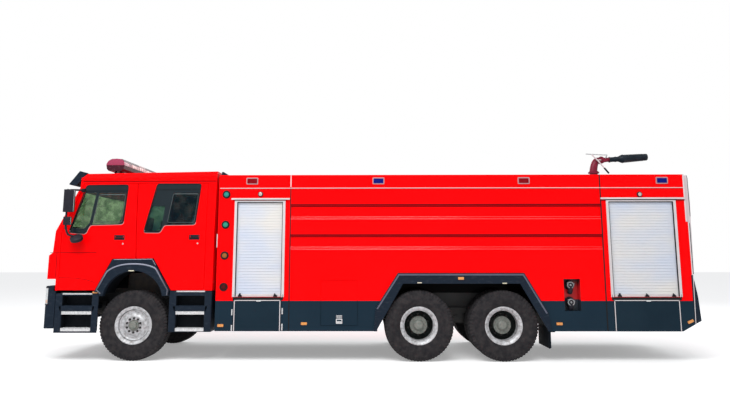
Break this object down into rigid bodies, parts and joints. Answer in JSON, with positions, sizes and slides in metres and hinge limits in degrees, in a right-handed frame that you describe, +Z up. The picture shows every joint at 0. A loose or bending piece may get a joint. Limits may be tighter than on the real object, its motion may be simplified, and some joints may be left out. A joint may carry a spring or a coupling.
{
  "type": "airport fire truck",
  "caption": "Three-axle airport fire truck with a tilting double cab, slatted side lockers, a fluted water tank body and a roof monitor.",
  "frame": {"origin": "centre of the whole truck on the ground", "axes": "+X to the back of the truck, +Y to its right side, +Z up"},
  "size_m": [10.59, 2.9678, 3.5272],
  "materials": {
    "body_red": "gloss paint",
    "slate_paint": "gloss paint",
    "slate_plastic": "satin moulding",
    "black_plastic": "satin",
    "chassis_black": "satin paint",
    "cast_grey": "cast",
    "curtain_aluminium": "anodised",
    "bright_rail": "satin",
    "wheel_silver": "silver paint",
    "tyre": "moulded",
    "tinted_glass": "tinted",
    "lamp_lens": "clear lens",
    "lamp_red": "clear lens",
    "monitor_red": "gloss paint",
    "seat_fabric": "woven"
  },
  "bodies": {
    "chassis": {"frame": "chassis_black", "driveline": "cast_grey", "axles": "chassis_black", "springs": "chassis_black", "front_bumper": "slate_plastic", "steps": "slate_plastic", "front_locker": "body_red", "tank_body": "body_red", "rear_locker": "body_red", "shutters": "curtain_aluminium", "shutter_rails": "bright_rail", "arch_trims": "slate_plastic", "ladder": "bright_rail", "rear_bumper": "slate_plastic", "hose_couplings": "black_plastic", "lamps": "lamp_lens", "roof_fairing": "slate_plastic", "monitor_base": "monitor_red"},
    "cab": {"cab_shell": "body_red", "windscreen": "tinted_glass", "flares": "slate_plastic", "sun_visor": "slate_plastic", "light_bar": "lamp_red", "dashboard": "black_plastic", "seats": "seat_fabric"},
    "grille_panel": {"front_panel": "body_red"},
    "door_front_left": {"door_fl": "body_red", "glass_fl": "tinted_glass", "mirror_l": "black_plastic"},
    "door_front_right": {"door_fr": "body_red", "glass_fr": "tinted_glass", "mirror_r": "black_plastic"},
    "door_rear_left": {"door_rl": "body_red", "glass_rl": "tinted_glass"},
    "door_rear_right": {"door_rr": "body_red", "glass_rr": "tinted_glass"},
    "knuckle_left": {"knuckle_l": "cast_grey"},
    "knuckle_right": {"knuckle_r": "cast_grey"},
    "track_rod": {"tie_rod": "chassis_black"},
    "wheel_front_left": {"tyre_fl": "tyre", "wheel_fl": "wheel_silver"},
    "wheel_front_right": {"tyre_fr": "tyre", "wheel_fr": "wheel_silver"},
    "wheels_middle_left": {"tyre_ml": "tyre", "wheel_ml": "wheel_silver"},
    "wheels_middle_right": {"tyre_mr": "tyre", "wheel_mr": "wheel_silver"},
    "wheels_rear_left": {"tyre_rl": "tyre", "wheel_rl": "wheel_silver"},
    "wheels_rear_right": {"tyre_rr": "tyre", "wheel_rr": "wheel_silver"},
    "monitor_swivel": {"monitor_elbow": "monitor_red"},
    "monitor_gun": {"monitor_barrel": "black_plastic"},
    "flap_front_left": {"flap_fl": "slate_paint"},
    "flap_front_right": {"flap_fr": "slate_paint"},
    "flap_rear_left": {"flap_rl": "slate_paint"},
    "flap_rear_right": {"flap_rr": "slate_paint"},
    "hatch": {"tank_hatch": "curtain_aluminium"},
    "compartment_door": {"side_door": "body_red"}
  },
  "joints": [
    {"name": "steer_left", "type": "hinge", "parent": "chassis", "child": "knuckle_left", "pos_m": [-3.795, -0.84, 0.556], "axis": [0, 0, 1], "range_deg": [-32, 32]},
    {"name": "steer_right", "type": "hinge", "parent": "chassis", "child": "knuckle_right", "pos_m": [-3.795, 0.84, 0.556], "axis": [0, 0, 1], "range_deg": [-32, 32]},
    {"name": "track_rod_swing", "type": "hinge", "parent": "knuckle_left", "child": "track_rod", "pos_m": [-3.565, -0.84, 0.517], "axis": [0, 0, 1], "range_deg": [-32, 32]},
    {"name": "front_left_roll", "type": "hinge", "parent": "knuckle_left", "child": "wheel_front_left", "pos_m": [-3.795, -1.043, 0.556], "axis": [0, 1, 0], "continuous": true},
    {"name": "front_right_roll", "type": "hinge", "parent": "knuckle_right", "child": "wheel_front_right", "pos_m": [-3.795, 1.043, 0.556], "axis": [0, 1, 0], "continuous": true},
    {"name": "middle_left_roll", "type": "hinge", "parent": "chassis", "child": "wheels_middle_left", "pos_m": [0.805, -0.909, 0.556], "axis": [0, 1, 0], "continuous": true},
    {"name": "middle_right_roll", "type": "hinge", "parent": "chassis", "child": "wheels_middle_right", "pos_m": [0.805, 0.909, 0.556], "axis": [0, 1, 0], "continuous": true},
    {"name": "rear_left_roll", "type": "hinge", "parent": "chassis", "child": "wheels_rear_left", "pos_m": [2.155, -0.909, 0.556], "axis": [0, 1, 0], "continuous": true},
    {"name": "rear_right_roll", "type": "hinge", "parent": "chassis", "child": "wheels_rear_right", "pos_m": [2.155, 0.909, 0.556], "axis": [0, 1, 0], "continuous": true},
    {"name": "cab_tilt", "type": "hinge", "parent": "chassis", "child": "cab", "pos_m": [-5.125, 0, 1.15], "axis": [0, -1, 0], "range_deg": [0, 40]},
    {"name": "grille_lift", "type": "hinge", "parent": "cab", "child": "grille_panel", "pos_m": [-5.24, 0, 2.046], "axis": [0, 1, 0], "range_deg": [0, 75]},
    {"name": "door_front_left_swing", "type": "hinge", "parent": "cab", "child": "door_front_left", "pos_m": [-5.028, -1.252, 1.6], "axis": [0, 0, -1], "range_deg": [0, 70]},
    {"name": "door_front_right_swing", "type": "hinge", "parent": "cab", "child": "door_front_right", "pos_m": [-5.028, 1.252, 1.6], "axis": [0, 0, 1], "range_deg": [0, 70]},
    {"name": "door_rear_left_swing", "type": "hinge", "parent": "cab", "child": "door_rear_left", "pos_m": [-3.83, -1.252, 1.6], "axis": [0, 0, -1], "range_deg": [0, 70]},
    {"name": "door_rear_right_swing", "type": "hinge", "parent": "cab", "child": "door_rear_right", "pos_m": [-3.83, 1.252, 1.6], "axis": [0, 0, 1], "range_deg": [0, 70]},
    {"name": "monitor_turn", "type": "hinge", "parent": "chassis", "child": "monitor_swivel", "pos_m": [4.148, 0, 3.2], "axis": [0, 0, 1], "range_deg": [-170, 170]},
    {"name": "monitor_lift", "type": "hinge", "parent": "monitor_swivel", "child": "monitor_gun", "pos_m": [4.285, 0, 3.41], "axis": [0, -1, 0], "range_deg": [-15, 70]},
    {"name": "flap_front_left_fold", "type": "hinge", "parent": "chassis", "child": "flap_front_left", "pos_m": [-1.7915, -1.252, 0.468], "axis": [1, 0, 0], "range_deg": [0, 90]},
    {"name": "flap_front_right_fold", "type": "hinge", "parent": "chassis", "child": "flap_front_right", "pos_m": [-1.7915, 1.252, 0.468], "axis": [-1, 0, 0], "range_deg": [0, 90]},
    {"name": "flap_rear_left_fold", "type": "hinge", "parent": "chassis", "child": "flap_rear_left", "pos_m": [4.4425, -1.252, 0.468], "axis": [1, 0, 0], "range_deg": [0, 90]},
    {"name": "flap_rear_right_fold", "type": "hinge", "parent": "chassis", "child": "flap_rear_right", "pos_m": [4.4425, 1.252, 0.468], "axis": [-1, 0, 0], "range_deg": [0, 90]},
    {"name": "hatch_lift", "type": "hinge", "parent": "chassis", "child": "hatch", "pos_m": [1.205, -0.296, 2.955], "axis": [1, 0, 0], "range_deg": [0, 95]},
    {"name": "compartment_door_lift", "type": "hinge", "parent": "chassis", "child": "compartment_door", "pos_m": [-0.474, -1.252, 1.269], "axis": [-1, 0, 0], "range_deg": [0, 85]}
  ],
  "couplings": [
    {"joint": "steer_right", "follows": "steer_left", "ratio": 1},
    {"joint": "track_rod_swing", "follows": "steer_left", "ratio": -1}
  ]
}
